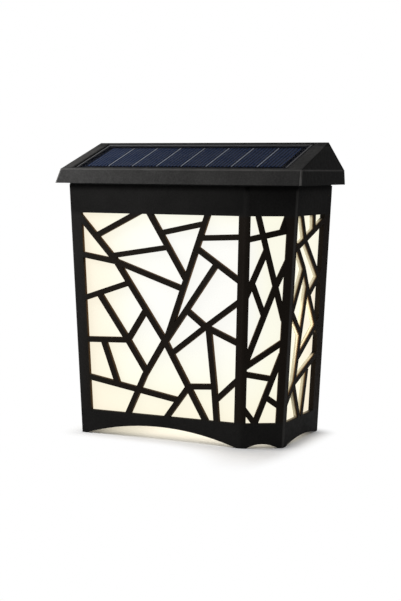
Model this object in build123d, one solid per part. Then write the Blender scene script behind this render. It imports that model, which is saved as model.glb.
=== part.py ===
from build123d import *
import math
import os

# Solar wall lantern. Sizes are millimetres, +Z is up, the front faces -Y and the wall is at +Y.
# The origin is on the floor, under the middle of the roof.

# Roof
ROOF_WIDTH = 150.0
ROOF_DEPTH = 70.0
EAVE_HEIGHT = 143.7
FASCIA_HEIGHT = 8.1
FASCIA_FLARE = 2.3
FLARE_LEFT = 2.1
FLARE_RIGHT = 0.5
ROOF_RISE = 15.4
RIDGE_SETBACK = 21.6
LEAN_LEFT = 0.2
LEAN_RIGHT = 1.8
ROOF_WALL = 2.0
ROOF_ROUND = 0.6
SOFFIT = 2.0
LIP_DEPTH = 4.0
LIP_WALL = 1.8
LIP_GAP = 0.3
LIP_BACK_GAP = 1.0
GASKET = 0.8
GASKET_INSET = 0.4

# Solar panel
PANEL_SIDE_MARGIN = 10.6
PANEL_MARGIN = 4.2
PANEL_RIDGE_MARGIN = 3.8
PANEL_BEVEL = 0.7
PANEL_GAP = 0.4
PANEL_SINK = 0.1
PANEL_FLOOR = 1.8
COVER = 0.8
CELL = 0.3
BOARD = 1.2
PANEL_SEAL = 0.6
SEAL_WIDTH = 4.0
CELL_COUNT = 8
CELL_BORDER = 4.2
CELL_GAP = 1.6
RIBBON_WIDTH = 1.2

# Lantern body
BODY_WIDTH_EAVE = 134.4
BODY_WIDTH_FLOOR = 120.6
FOLD_X_EAVE = 43.4
FOLD_X_FLOOR = 40.2
FACET_DEPTH = 12.0
EAVE_OVERHANG = 2.4
FRONT_LEAN = 2.1
SHELL_WALL = 2.6
FOLD_ROUND = 5.0
CORNER_ROUND = 0.8
FOOT_LAND = 3.0
FRONT_ARCH = 7.4
FACET_ARCH = 2.3
SIDE_ARCH = 2.6
SILL_DROP = 3.4
LEDGE = 2.0
LEDGE_WIDTH = 4.0

# Lattice windows
WINDOW_SILL = 13.6
TOP_BAND = 16.7
CORNER_STILE = 6.9
FRONT_STILE = 4.4
FACET_STILE_FRONT = 2.4
FACET_STILE_BACK = 4.8
SIDE_STILE = 2.8
BAR_WIDTH = 3.1
BAR_LAP = 0.3

# Lines of the lattice, each a run of points in percent of its window: across, then up.
FRONT_BARS = [
    [(-1, 98), (22, 76), (53, 38), (81, -1)],
    [(38, 101), (10, 89)],
    [(44, 101), (67, 69)],
    [(52, 91), (79, 96)],
    [(81, 101), (54, 38)],
    [(77, 89), (101, 90)],
    [(74, 84), (101, 69)],
    [(86, 76), (54, 38)],
    [(-1, 79), (22, 76), (65, 64)],
    [(20, 79), (56, 84)],
    [(-1, 57), (31, 66)],
    [(9, 60), (28, 37), (40, 22)],
    [(41, 53), (28, 37)],
    [(-1, 36), (28, 37)],
    [(11, 36), (20, 14)],
    [(-1, 17), (60, 9)],
    [(53, 38), (39, 20), (26, -1)],
    [(69, 16), (53, -1)],
    [(58, 32), (80, 46), (101, 59)],
    [(67, 54), (80, 46), (101, 39)],
    [(82, 45), (86, 17), (88, -1)],
    [(69, 16), (86, 17)],
    [(88, 11), (101, 21)],
]
FACET_BARS = [
    [(20, 101), (47, 84), (101, 53)],
    [(-1, 89), (101, 93)],
    [(88, 93), (104, 102)],
    [(47, 84), (-1, 64)],
    [(12, 67), (45, 53)],
    [(101, 76), (76, 66), (-1, 31)],
    [(101, 39), (-1, 28)],
    [(-1, 24), (72, 22)],
    [(101, 31), (28, -1)],
    [(62, 13), (101, 9)],
    [(-1, 6), (30, 0)],
]
SIDE_BARS = [
    [(15, 101), (33, 88), (101, 66)],
    [(-1, 84), (101, 97)],
    [(61, 101), (64, 92)],
    [(3, 86), (35, 74), (58, 61), (101, 40)],
    [(33, 73), (-1, 53)],
    [(50, 64), (34, 40), (22, 18)],
    [(-1, 54), (35, 42)],
    [(60, 61), (101, 71)],
    [(32, 31), (101, 46)],
    [(20, 18), (101, 29)],
    [(-1, 10), (20, 18), (48, -1)],
    [(68, 23), (56, -1)],
]

# Diffuser and reflector
LINER_GAP = 0.3
LINER_WALL = 1.4
LINER_LAP = 3.1
REFLECTOR = 1.0
REFLECTOR_GAP = 0.2

# Back plate
BACK = 3.0
BACK_GAP = 0.3
BACK_FOOT = 4.0
BACK_FLANGE = 2.4
BOSS = 8.0
BOSS_LENGTH = 6.0
BOSS_CLEAR = 0.4
BOSS_LOW = 28.0
BOSS_DROP = 34.0
KEYHOLE_SPACING = 80.0
KEYHOLE_HEIGHT = 88.0
KEYHOLE_RADIUS = 4.3
KEYHOLE_SLOT_RADIUS = 2.3
KEYHOLE_RISE = 9.0
POCKET_ROOM = 1.2
POCKET_DEPTH = 5.0
POCKET_WALL = 1.2

# Fasteners
SCREW_RADIUS = 1.25
SCREW_LENGTH = 6.6
HEAD_RADIUS = 2.5
HEAD_HEIGHT = 1.5
SMALL_RADIUS = 0.9
SMALL_HEAD_RADIUS = 1.8
SMALL_HEAD_HEIGHT = 1.1
LID_SCREW_LENGTH = 5.0
BOARD_SCREW_LENGTH = 3.8
THREAD_GAP = 0.05
HOLE_GAP = 0.3
HEAD_SINK = 0.3

# Screw proportions: of the head's radius, the head's height and the shank's radius
CROSS_LENGTH = 1.2
CROSS_WIDTH = 0.25
CROSS_DEPTH = 0.55
HEAD_ROUND = 0.3
TIP_BEVEL = 0.4

# Battery, its box and lid
BATTERY_RADIUS = 7.1
BATTERY_LENGTH = 49.2
BATTERY_ROUND = 0.5
NUB_RADIUS = 2.7
NUB_LENGTH = 1.3
BATTERY_DROP = 12.7
BATTERY_GAP = 0.4
CONTACT_ROOM = 6.4
CONTACT = 0.5
CONTACT_SIZE = 10.0
BUMP_RADIUS = 2.2
BUMP_HEIGHT = 1.0
LEAF_WIDTH = 6.0
LEAF_CREST = 2.5
TAB_HEIGHT = 2.4
TAB_RISE = 5.8
TAB_REACH = 1.5
BOX_WALL = 1.6
LID = 2.4
LID_SINK = 0.2
LID_GAP = 0.3
LID_LAND = 2.5
LID_EAR = 9.0
LID_ROUND = 0.6
LID_SCREW_ROOM = 1.0
LID_BOSS_LENGTH = 3.4
LID_PAD = 2.4
LID_PAD_RIM = 2.0
LID_SEAL = 0.6

# Tray, boards and lamps under the roof
TRAY = 2.0
TRAY_GAP = 0.5
PILLAR_RADIUS = 4.0
PILLAR_X = 20.0
PILLAR_FRONT_INSET = 12.0
POST = 8.0
POST_ROOM = 2.0
POST_DROP = 5.7
POST_GAP = 0.2
LED_BOARD_LENGTH = 90.0
LED_BOARD_WIDTH = 11.0
LED_COUNT = 6
LED_PITCH = 15.0
LED_LENGTH = 3.5
LED_WIDTH = 2.8
LED_HEIGHT = 1.0
CONTROL_ROOM = 5.0
CONTROL_SETBACK = 12.0
CONTROL_WIDTH = 20.0
CONTROL_DEPTH = 30.0
STANDOFF_RADIUS = 2.6
STANDOFF_HEIGHT = 1.0
BOARD_SCREW_INSET = 3.2

# Parts on the control board: size, then place from the board's middle
CHIP = (5.0, 4.0, 1.6)
CHIP_PLACE = (-2.0, -9.6)
COIL = (6.0, 6.0, 4.0)
COIL_ROUND = 1.2
COIL_PLACE = (6.0, 1.0)
CAPACITOR_RADIUS = 2.5
CAPACITOR_HEIGHT = 7.0
CAPACITOR_PLACE = (5.5, -6.0)
RESISTOR = (1.6, 0.8, 0.6)
RESISTOR_PLACE = (-5.0, -13.4)
RESISTOR_PITCH = 3.0
RESISTOR_COUNT = 3

# Button and switch
BUTTON_RADIUS = 3.6
BUTTON_GAP = 0.25
BUTTON_SINK = 0.4
BUTTON_ROUND = 0.5
BUTTON_FLANGE = 1.2
BUTTON_FLANGE_RADIUS = 4.8
BUTTON_STOP_GAP = 0.1
BUTTON_STEM_RADIUS = 1.5
STEM_ENTRY = 0.8
STEM_GAP = 0.3
SEAL_RING_WIDTH = 1.4
SEAL_RING = 1.0
SEAL_RING_GAP = 0.1
SEAL_RING_SINK = 0.2
SWITCH_SIZE = 8.0
SWITCH_HEIGHT = 5.0
SWITCH_BORE_DEPTH = 3.0
SWITCH_EDGE = 1.2

# Wires
WIRE_RADIUS = 0.6
WIRE_PITCH = 3.0
WIRE_BEND = 1.2
WIRE_HOLE_RADIUS = 2.6

# Worked-out places
OVERCUT = 1.0
WALL_Y = ROOF_DEPTH / 2
RIM_HEIGHT = EAVE_HEIGHT - GASKET
FASCIA_TOP = EAVE_HEIGHT + FASCIA_HEIGHT
RIDGE_HEIGHT = FASCIA_TOP + ROOF_RISE
WINDOW_HEAD = EAVE_HEIGHT - TOP_BAND
LEDGE_TOP = WINDOW_SILL - SILL_DROP
LINER_TOP = WINDOW_HEAD + LINER_LAP
FACET_SLOPE = FACET_DEPTH / (BODY_WIDTH_FLOOR / 2 - FOLD_X_FLOOR)
BACK_FRONT_Y = WALL_Y - BACK
LINER_BACK_Y = BACK_FRONT_Y - BOSS_LENGTH - BOSS_CLEAR
SIDE_STILE_BACK = WALL_Y - LINER_BACK_Y
LINER_INSET = SHELL_WALL + LINER_GAP
LIP_INSET = SHELL_WALL + LIP_GAP
TRAY_TOP = LINER_TOP + TRAY
BOARD_FOOT = TRAY_TOP + STANDOFF_HEIGHT
BOARD_TOP = BOARD_FOOT + BOARD
HEAD_SEAT_Y = WALL_Y - HEAD_HEIGHT - HEAD_SINK
BOSS_HEIGHTS = (BOSS_LOW, RIM_HEIGHT - BOSS_DROP)
POST_SCREW_HEIGHT = RIM_HEIGHT - POST_DROP
BATTERY_HEIGHT = RIM_HEIGHT - BATTERY_DROP

BORE = 2 * (BATTERY_RADIUS + BATTERY_GAP)
BOX_LENGTH = BATTERY_LENGTH + NUB_LENGTH + CONTACT_ROOM
LID_INNER_Y = WALL_Y - LID_SINK - LID
LID_LEDGE_Y = LID_INNER_Y - LID_SEAL
BATTERY_Y = LID_INNER_Y - BATTERY_GAP - BATTERY_RADIUS
BOX_FRONT_Y = BATTERY_Y - BORE / 2 - BOX_WALL
LID_WIDTH = BOX_LENGTH + 2 * LID_EAR
LID_HEIGHT = BORE + 2 * LID_LAND
LID_SCREW_X = BOX_LENGTH / 2 + BOX_WALL + SMALL_HEAD_RADIUS + LID_SCREW_ROOM
LID_SEAT_Y = WALL_Y - LID_SINK - SMALL_HEAD_HEIGHT - HEAD_SINK
TAB_Z = BATTERY_HEIGHT + TAB_RISE
TAB_Y = BOX_FRONT_Y - TAB_REACH

PILLAR_YS = (-WALL_Y + PILLAR_FRONT_INSET, TAB_Y - 3 * WIRE_PITCH - PILLAR_RADIUS)
LED_BOARD_Y = sum(PILLAR_YS) / 2
CONTROL_X = BOX_LENGTH / 2 + BOX_WALL + CONTROL_ROOM + CONTROL_WIDTH / 2
CONTROL_Y = BACK_FRONT_Y - CONTROL_SETBACK - CONTROL_DEPTH / 2
SWITCH_BACK_Y = CONTROL_Y + CONTROL_DEPTH / 2 - SWITCH_EDGE
BUTTON_X = CONTROL_X
BUTTON_HEIGHT = BOARD_TOP + SWITCH_HEIGHT / 2

SLOPE_RUN = ROOF_DEPTH - FASCIA_FLARE - RIDGE_SETBACK
SLOPE_ANGLE = math.atan2(ROOF_RISE, SLOPE_RUN)
PANEL_WIDTH = ROOF_WIDTH - 2 * PANEL_SIDE_MARGIN
PANEL_HEIGHT = math.hypot(SLOPE_RUN, ROOF_RISE) - PANEL_MARGIN - PANEL_RIDGE_MARGIN
PANEL_PLANE = Plane(
    origin=(0, -WALL_Y + FASCIA_FLARE, FASCIA_TOP),
    x_dir=(1, 0, 0),
    z_dir=(0, -math.sin(SLOPE_ANGLE), math.cos(SLOPE_ANGLE)),
)
CELL_DEPTH = PANEL_SINK + COVER
BOARD_DEPTH = CELL_DEPTH + CELL
SEAL_DEPTH = BOARD_DEPTH + BOARD
RECESS_DEPTH = SEAL_DEPTH + PANEL_SEAL


# Small building blocks

def block(x, y, z):
    """Box between two limits on each axis."""
    limits = (x, y, z)
    middle = [(low + high) / 2 for low, high in limits]
    size = [high - low for low, high in limits]
    return Pos(*middle) * Box(*size)


def rod(radius, length, start, direction):
    """Round bar from a point along a direction."""
    bar = Cylinder(radius, length, align=(Align.CENTER, Align.CENTER, Align.MIN))
    return Plane(origin=start, z_dir=direction) * bar


def mirrored(solid):
    """The solid's twin on the other side of the lamp."""
    return mirror(solid, about=Plane.YZ)


def both_sides(solid):
    """A solid on the right and its twin on the left."""
    return [solid, mirrored(solid)]


def group(solids):
    """Separate solids that share one node."""
    return Compound(children=list(solids))


def screw(radius, head_radius, head_height, length, seat, direction):
    """Cross-head screw whose head sits on seat and whose shank runs along direction."""
    head = Cylinder(head_radius, head_height, align=(Align.CENTER, Align.CENTER, Align.MAX))
    head = fillet(head.edges().sort_by(Axis.Z)[0], head_height * HEAD_ROUND)
    shank = Cylinder(radius, length, align=(Align.CENTER, Align.CENTER, Align.MIN))
    tip = chamfer(shank.edges().sort_by(Axis.Z)[-1], radius * TIP_BEVEL)
    arm = Box(head_radius * CROSS_LENGTH, head_radius * CROSS_WIDTH, head_height * CROSS_DEPTH * 2)
    cross = Pos(0, 0, -head_height) * (arm + Rot(0, 0, 90) * arm)
    return Plane(origin=seat, z_dir=direction) * (head + tip - cross)


def body_screw(seat, direction):
    """One of the larger screws of the housing."""
    return screw(SCREW_RADIUS, HEAD_RADIUS, HEAD_HEIGHT, SCREW_LENGTH, seat, direction)


def small_screw(length, seat, direction):
    """One of the small screws of the lid and the control board."""
    return screw(SMALL_RADIUS, SMALL_HEAD_RADIUS, SMALL_HEAD_HEIGHT, length, seat, direction)


# Plan of the lantern body

def level(z, floor, eave):
    """Size at height z of a straight taper between the floor and the eave."""
    return floor + (eave - floor) * z / EAVE_HEIGHT


def plan(z, inset=0.0):
    """Right end and y of the front face, then the body's half width and where its right side starts."""
    front = level(z, FOLD_X_FLOOR, FOLD_X_EAVE)
    side = level(z, BODY_WIDTH_FLOOR, BODY_WIDTH_EAVE) / 2
    front_y = -WALL_Y + EAVE_OVERHANG + level(z, FRONT_LEAN, 0)
    run = side - front
    drop = run * FACET_SLOPE
    length = math.hypot(run, drop)
    side_y = front_y + ((run - inset) * drop + inset * length) / run
    return front + inset * (run - length) / drop, front_y + inset, side - inset, side_y


def section(z, inset, back_y):
    """Flat slice of the body at height z, drawn in by inset and closed at back_y."""
    front, front_y, side, side_y = plan(z, inset)
    right = [(front, front_y), (side, side_y), (side, back_y)]
    left = [(-side, back_y), (-side, front_y)]
    return Pos(0, 0, z) * make_face(Polyline(right + left, close=True))


def body_block(z_low, z_high, inset, back_y):
    """Solid slice of the body between two heights."""
    slices = [section(z_low, inset, back_y), section(z_high, inset, back_y)]
    return loft(slices, ruled=True)


# Lantern shell

def matching_edges(solid, edges):
    """Edges of a changed solid that still lie where the given edges lay."""
    places = [edge.center() for edge in edges]
    return [min(solid.edges(), key=lambda e: (e.center() - place).length) for place in places]


def face_corners(z):
    """Corners of the body at height z, from the front left one round to the back right one."""
    front, front_y, side, side_y = plan(z)
    return (-side, front_y, z), (front, front_y, z), (side, side_y, z), (side, WALL_Y, z)


def left_edge(z):
    """Ends of the left side at height z, seen in a mirror."""
    _, front_y, side, _ = plan(z)
    return (side, front_y, z), (side, WALL_Y, z)


def face_plane(left, right, above):
    """Plane of a face seen from outside: x runs from left to right, y runs up."""
    across = (Vector(*right) - Vector(*left)).normalized()
    normal = across.cross(Vector(*above) - Vector(*left))
    return Plane(origin=left, x_dir=across, z_dir=normal)


def bar(start, end):
    """Straight lattice bar between two points, a lap longer at each end."""
    run = Vector(*end) - Vector(*start)
    middle = (Vector(*end) + Vector(*start)) * 0.5
    angle = math.degrees(math.atan2(run.Y, run.X))
    return Pos(middle) * Rot(0, 0, angle) * Rectangle(run.length + 2 * BAR_LAP, BAR_WIDTH)


def window_point(corners, across, up):
    """Point of a window at a percentage across and up between its four corners."""
    u = across / 100
    v = up / 100
    low = corners[0] * (1 - u) + corners[1] * u
    high = corners[3] * (1 - u) + corners[2] * u
    return low * (1 - v) + high * v


def lattice_line(corners, line):
    """Points of one lattice line; an end outside the window runs on into the frame."""
    points = [window_point(corners, across, up) for across, up in line]
    for end, inner in ((0, 1), (-1, -2)):
        if min(line[end]) < 0 or max(line[end]) > 100:
            points[end] += (points[end] - points[inner]).normalized() * BAR_WIDTH
    return points


def window_cells(edge_low, edge_high, stiles, lines):
    """Cutter for all openings of one window, between the face's corners at sill and head."""
    plane = face_plane(edge_low[0], edge_low[1], edge_high[0])
    corners = []
    for (left, right), order in ((edge_low, 1), (edge_high, -1)):
        start = plane.to_local_coords(Vector(*left))
        end = plane.to_local_coords(Vector(*right))
        along = (end - start).normalized()
        corners += [start + along * stiles[0], end - along * stiles[1]][::order]
    cells = make_face(Polyline(*corners, close=True))
    for line in lines:
        points = lattice_line(corners, line)
        cells -= [bar(start, end) for start, end in zip(points, points[1:])]
    return extrude(plane.offset(OVERCUT) * cells, amount=-SHELL_WALL - OVERCUT - LINER_GAP / 2)


def arch(left, right, rise):
    """Cutter for the shallow arch between two feet of one face."""
    up = Vector(0, 0, 1)
    across = (Vector(*right) - Vector(*left)).normalized()
    start = Vector(*left) + across * FOOT_LAND
    end = Vector(*right) - across * FOOT_LAND
    top = (start + end) * 0.5 + up * rise
    curve = ThreePointArc(start, top, end)
    edge = Polyline(end, end - up * OVERCUT, start - up * OVERCUT, start)
    outward = across.cross(up)
    face = make_face(curve + edge)
    cutter = extrude(face, amount=SHELL_WALL + OVERCUT, dir=-outward)
    return cutter + extrude(face, amount=OVERCUT, dir=outward)


def shell_boss(z):
    """Block on the right wall that takes a screw of the back plate."""
    side = plan(z, SHELL_WALL)[2]
    lug = block(
        (side - BOSS, side + SHELL_WALL / 2),
        (BACK_FRONT_Y - BOSS_LENGTH, BACK_FRONT_Y),
        (z - BOSS / 2, z + BOSS / 2),
    )
    pilot = rod(SCREW_RADIUS + THREAD_GAP, BOSS_LENGTH, (side - BOSS / 2, BACK_FRONT_Y, z), (0, -1, 0))
    return lug - pilot


def lantern_shell():
    outer = body_block(0, RIM_HEIGHT, 0, WALL_Y)
    uprights = outer.edges().filter_by(lambda e: e.length > RIM_HEIGHT * 0.9 and e.center().Y < 0)
    corner, fold, side_corner = uprights.sort_by(Axis.X)
    shell = fillet(fold, FOLD_ROUND)
    shell = fillet(matching_edges(shell, (corner, side_corner)), CORNER_ROUND)
    shell -= body_block(-OVERCUT, RIM_HEIGHT + OVERCUT, SHELL_WALL, WALL_Y + OVERCUT)
    ledge = body_block(LEDGE_TOP - LEDGE, LEDGE_TOP, SHELL_WALL / 2, LINER_BACK_Y)
    ledge -= body_block(0, WINDOW_SILL, SHELL_WALL + LEDGE_WIDTH, WALL_Y)
    shell += ledge
    for height in BOSS_HEIGHTS:
        shell += both_sides(shell_boss(height))
    sill = face_corners(WINDOW_SILL)
    head = face_corners(WINDOW_HEAD)
    front_stiles = (CORNER_STILE, FRONT_STILE)
    facet_stiles = (FACET_STILE_FRONT, FACET_STILE_BACK)
    side_stiles = (SIDE_STILE, SIDE_STILE_BACK)
    left_stiles = (CORNER_STILE, SIDE_STILE_BACK)
    shell -= window_cells(sill[0:2], head[0:2], front_stiles, FRONT_BARS)
    shell -= window_cells(sill[1:3], head[1:3], facet_stiles, FACET_BARS)
    shell -= window_cells(sill[2:4], head[2:4], side_stiles, SIDE_BARS)
    left_window = window_cells(left_edge(WINDOW_SILL), left_edge(WINDOW_HEAD), left_stiles, SIDE_BARS)
    shell -= mirrored(left_window)
    foot = face_corners(0)
    shell -= arch(foot[0], foot[1], FRONT_ARCH)
    shell -= arch(foot[1], foot[2], FACET_ARCH)
    shell -= arch(foot[2], foot[3], SIDE_ARCH)
    shell -= mirrored(arch(*left_edge(0), SIDE_ARCH))
    return shell


# Roof

def roof_block(inset, floor_z):
    """The roof's form, drawn in by inset on each face, from floor_z upwards."""
    low = EAVE_HEIGHT - FASCIA_HEIGHT
    high = RIDGE_HEIGHT + ROOF_RISE
    half = ROOF_WIDTH / 2
    side = Polyline(
        (-WALL_Y - FASCIA_FLARE, low),
        (-WALL_Y + FASCIA_FLARE, FASCIA_TOP),
        (WALL_Y - RIDGE_SETBACK, RIDGE_HEIGHT),
        (WALL_Y, FASCIA_TOP),
        (WALL_Y, low),
        close=True,
    )
    right = [(half + FLARE_RIGHT, low), (half - FLARE_RIGHT, FASCIA_TOP)]
    right.append((half - FLARE_RIGHT - 2 * LEAN_RIGHT, high))
    left = [(-half - FLARE_LEFT, low), (-half + FLARE_LEFT, FASCIA_TOP)]
    left.append((-half + FLARE_LEFT + 2 * LEAN_LEFT, high))
    front = Polyline(right + left[::-1], close=True)
    profiles = [make_face(side), make_face(front)]
    if inset:
        profiles = [offset(face, -inset, kind=Kind.INTERSECTION) for face in profiles]
    across = extrude(Plane.YZ * profiles[0], amount=ROOF_WIDTH, both=True)
    along = extrude(Plane.XZ * profiles[1], amount=ROOF_DEPTH, both=True)
    above = block((-ROOF_WIDTH, ROOF_WIDTH), (-ROOF_DEPTH, ROOF_DEPTH), (floor_z, high))
    return across & along & above


def panel_layer(width, height, depth, thickness):
    """Flat slab centred on the panel, with its top at a depth below the roof slope."""
    middle = PANEL_MARGIN + PANEL_HEIGHT / 2
    slab = Box(width, height, thickness, align=(Align.CENTER, Align.CENTER, Align.MAX))
    return PANEL_PLANE * Pos(0, middle, -depth) * slab


def panel_bevel(width, height):
    """Cutter that slopes the recess's upper edge outwards."""
    middle = PANEL_MARGIN + PANEL_HEIGHT / 2
    face = PANEL_PLANE * Pos(0, middle, -PANEL_BEVEL) * Rectangle(width, height)
    return extrude(face, amount=2 * PANEL_BEVEL, taper=-45)


def panel_point(x, y, depth):
    """Height of the plane at a depth below the front slope, over a point of the plan."""
    rise = (y + WALL_Y - FASCIA_FLARE) * math.tan(SLOPE_ANGLE)
    return (x, y, FASCIA_TOP + rise - depth / math.cos(SLOPE_ANGLE))


def under_roof(column, foot, pilot):
    """Column that hangs from the roof, cut to its inner form above the eave and drilled."""
    upper = column & roof_block(ROOF_WALL / 2, EAVE_HEIGHT)
    reach = (-ROOF_WIDTH, ROOF_WIDTH)
    lower = column & block(reach, reach, (foot, EAVE_HEIGHT + SOFFIT))
    return upper + lower - pilot


def tray_pillar(x, y):
    """Pillar for one tray screw."""
    column = rod(PILLAR_RADIUS, RIDGE_HEIGHT - TRAY_TOP, (x, y, TRAY_TOP), (0, 0, 1))
    pilot = rod(SCREW_RADIUS + THREAD_GAP, SCREW_LENGTH, (x, y, TRAY_TOP), (0, 0, 1))
    return under_roof(column, TRAY_TOP, pilot)


def post_x():
    """x of the right roof post, beside the lip's inner face."""
    return plan(POST_SCREW_HEIGHT, LIP_INSET + LIP_WALL)[2] - POST_ROOM - POST / 2


def roof_post():
    """Post in front of the back plate for the right roof screw."""
    x = post_x()
    foot = POST_SCREW_HEIGHT - POST / 2
    face_y = BACK_FRONT_Y - POST_GAP
    column = block((x - POST / 2, x + POST / 2), (face_y - POST, face_y), (foot, RIDGE_HEIGHT))
    pilot = rod(SCREW_RADIUS + THREAD_GAP, SCREW_LENGTH, (x, face_y, POST_SCREW_HEIGHT), (0, -1, 0))
    return under_roof(column, foot, pilot)


def panel_lead_start():
    """Place on the plan where the leads leave the panel."""
    return CONTROL_X + WIRE_PITCH, CONTROL_Y - 2 * WIRE_PITCH


def roof_cap():
    outer = roof_block(0, EAVE_HEIGHT)
    upper = outer.edges().filter_by(lambda edge: edge.center().Z > EAVE_HEIGHT + ROOF_ROUND)
    roof = fillet(upper, ROOF_ROUND)
    roof -= roof_block(ROOF_WALL, EAVE_HEIGHT + SOFFIT)
    opening_y = BACK_FRONT_Y - LIP_BACK_GAP
    roof -= body_block(
        EAVE_HEIGHT - OVERCUT, EAVE_HEIGHT + SOFFIT + OVERCUT, LIP_INSET + LIP_WALL, opening_y
    )
    lip = body_block(EAVE_HEIGHT - LIP_DEPTH, EAVE_HEIGHT + SOFFIT, LIP_INSET, opening_y)
    lip -= body_block(0, RIDGE_HEIGHT, LIP_INSET + LIP_WALL, WALL_Y)
    roof += lip
    rim = 2 * ROOF_WALL
    skin = ROOF_WALL / 2
    tub = RECESS_DEPTH + PANEL_FLOOR - skin
    roof += panel_layer(PANEL_WIDTH + rim, PANEL_HEIGHT + ROOF_WALL, skin, tub)
    for y in PILLAR_YS:
        roof += both_sides(tray_pillar(PILLAR_X, y))
    roof += both_sides(roof_post())
    room = 2 * PANEL_GAP
    roof -= panel_layer(PANEL_WIDTH + room, PANEL_HEIGHT + room, -OVERCUT, RECESS_DEPTH + OVERCUT)
    roof -= panel_bevel(PANEL_WIDTH + room, PANEL_HEIGHT + room)
    x, y = panel_lead_start()
    start = panel_point(x, y + WIRE_PITCH / 2, 0)
    roof -= rod(WIRE_HOLE_RADIUS, FASCIA_HEIGHT + ROOF_RISE, start, (0, 0, -1))
    return roof


def roof_gasket():
    ring = body_block(RIM_HEIGHT, EAVE_HEIGHT, GASKET_INSET, WALL_Y - GASKET_INSET)
    hole = body_block(0, RIDGE_HEIGHT, SHELL_WALL - GASKET_INSET, BACK_FRONT_Y + GASKET_INSET)
    return ring - hole


# Solar panel

def panel_seal():
    ring = panel_layer(PANEL_WIDTH, PANEL_HEIGHT, SEAL_DEPTH, PANEL_SEAL)
    inner = 2 * SEAL_WIDTH
    depth = SEAL_DEPTH - OVERCUT
    return ring - panel_layer(PANEL_WIDTH - inner, PANEL_HEIGHT - inner, depth, PANEL_SEAL + 2 * OVERCUT)


def panel_board():
    return panel_layer(PANEL_WIDTH, PANEL_HEIGHT, BOARD_DEPTH, BOARD)


def panel_cover():
    return panel_layer(PANEL_WIDTH, PANEL_HEIGHT, PANEL_SINK, COVER)


def cell_pitch():
    """Distance between neighbouring cells."""
    return (PANEL_WIDTH - 2 * CELL_BORDER + CELL_GAP) / CELL_COUNT


def strips(count, width):
    """Row of upright strips on the panel board, centred on the panel."""
    shift = PANEL_PLANE.x_dir
    strip = panel_layer(width, PANEL_HEIGHT - 2 * CELL_BORDER, CELL_DEPTH, CELL)
    places = [(i - (count - 1) / 2) * cell_pitch() for i in range(count)]
    return group(Pos(shift * place) * strip for place in places)


def solar_cells():
    return strips(CELL_COUNT, cell_pitch() - CELL_GAP)


def cell_ribbons():
    return strips(CELL_COUNT - 1, RIBBON_WIDTH)


# Light chamber

def diffuser_liner():
    liner = body_block(LEDGE_TOP, LINER_TOP, LINER_INSET, LINER_BACK_Y)
    return liner - body_block(
        LEDGE_TOP + LINER_WALL, LINER_TOP + OVERCUT, LINER_INSET + LINER_WALL, WALL_Y
    )


def back_reflector():
    top = BATTERY_HEIGHT - BORE / 2 - BOX_WALL - BACK_GAP
    inset = LINER_INSET + LINER_WALL + REFLECTOR_GAP
    sheet = body_block(LEDGE_TOP + LINER_WALL, top, inset, LINER_BACK_Y)
    reach = (-ROOF_WIDTH, ROOF_WIDTH)
    return sheet & block(reach, (LINER_BACK_Y - REFLECTOR, LINER_BACK_Y), (0, RIDGE_HEIGHT))


# Back plate, battery box and lid

def screw_hole(x, z):
    """Clearance hole and head seat for a housing screw in the back plate."""
    start = (x, WALL_Y + OVERCUT, z)
    hole = rod(SCREW_RADIUS + HOLE_GAP, BACK + 2 * OVERCUT, start, (0, -1, 0))
    return hole + rod(HEAD_RADIUS + HOLE_GAP, start[1] - HEAD_SEAT_Y, start, (0, -1, 0))


def back_screw_places():
    """Screws along the right edge of the back plate, into the body's bosses."""
    return [(plan(z, SHELL_WALL)[2] - BOSS / 2, z) for z in BOSS_HEIGHTS]


def keyhole(grow, depth, start_y):
    """Keyhole outline on the right, grown by a margin and cut from start_y to a depth."""
    x = KEYHOLE_SPACING / 2
    entry = rod(KEYHOLE_RADIUS + grow, depth, (x, start_y, KEYHOLE_HEIGHT), (0, -1, 0))
    width = KEYHOLE_SLOT_RADIUS + grow
    end = rod(width, depth, (x, start_y, KEYHOLE_HEIGHT + KEYHOLE_RISE), (0, -1, 0))
    slot = block(
        (x - width, x + width),
        (start_y - depth, start_y),
        (KEYHOLE_HEIGHT, KEYHOLE_HEIGHT + KEYHOLE_RISE),
    )
    return entry + end + slot


def pocket(grow, depth):
    """Room behind the right keyhole for a screw head, grown by a wall."""
    x = KEYHOLE_SPACING / 2
    half = KEYHOLE_RADIUS + POCKET_ROOM + grow
    return block(
        (x - half, x + half),
        (BACK_FRONT_Y - depth, BACK_FRONT_Y + grow / 2),
        (KEYHOLE_HEIGHT - half, KEYHOLE_HEIGHT + KEYHOLE_RISE + half),
    )


def centred(width, height, y_low, y_high):
    """Slab in the back plate, centred on the battery."""
    return block(
        (-width / 2, width / 2),
        (y_low, y_high),
        (BATTERY_HEIGHT - height / 2, BATTERY_HEIGHT + height / 2),
    )


def plate_blank():
    """The back plate's outline between the side walls, at full thickness."""
    low = plan(BACK_FOOT, SHELL_WALL)[2] - BACK_GAP
    high = plan(RIM_HEIGHT, SHELL_WALL)[2] - BACK_GAP
    outline = [(-low, BACK_FOOT), (low, BACK_FOOT), (high, RIM_HEIGHT), (-high, RIM_HEIGHT)]
    face = make_face(Polyline(outline, close=True))
    return extrude(Pos(0, WALL_Y, 0) * (Plane.XZ * face), amount=BACK)


def foot_flange():
    """Shelf at the plate's foot that closes the light chamber from below."""
    half = plan(BACK_FOOT, SHELL_WALL)[2] - BACK_GAP
    front = LINER_BACK_Y + LINER_GAP
    return block((-half, half), (front, BACK_FRONT_Y), (BACK_FOOT, BACK_FOOT + BACK_FLANGE))


def lid_bosses(radius, length):
    """Bosses, or their holes, behind the lid's screws."""
    start_y = BACK_FRONT_Y - LID_PAD
    return both_sides(rod(radius, length, (LID_SCREW_X, start_y, BATTERY_HEIGHT), (0, -1, 0)))


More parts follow.
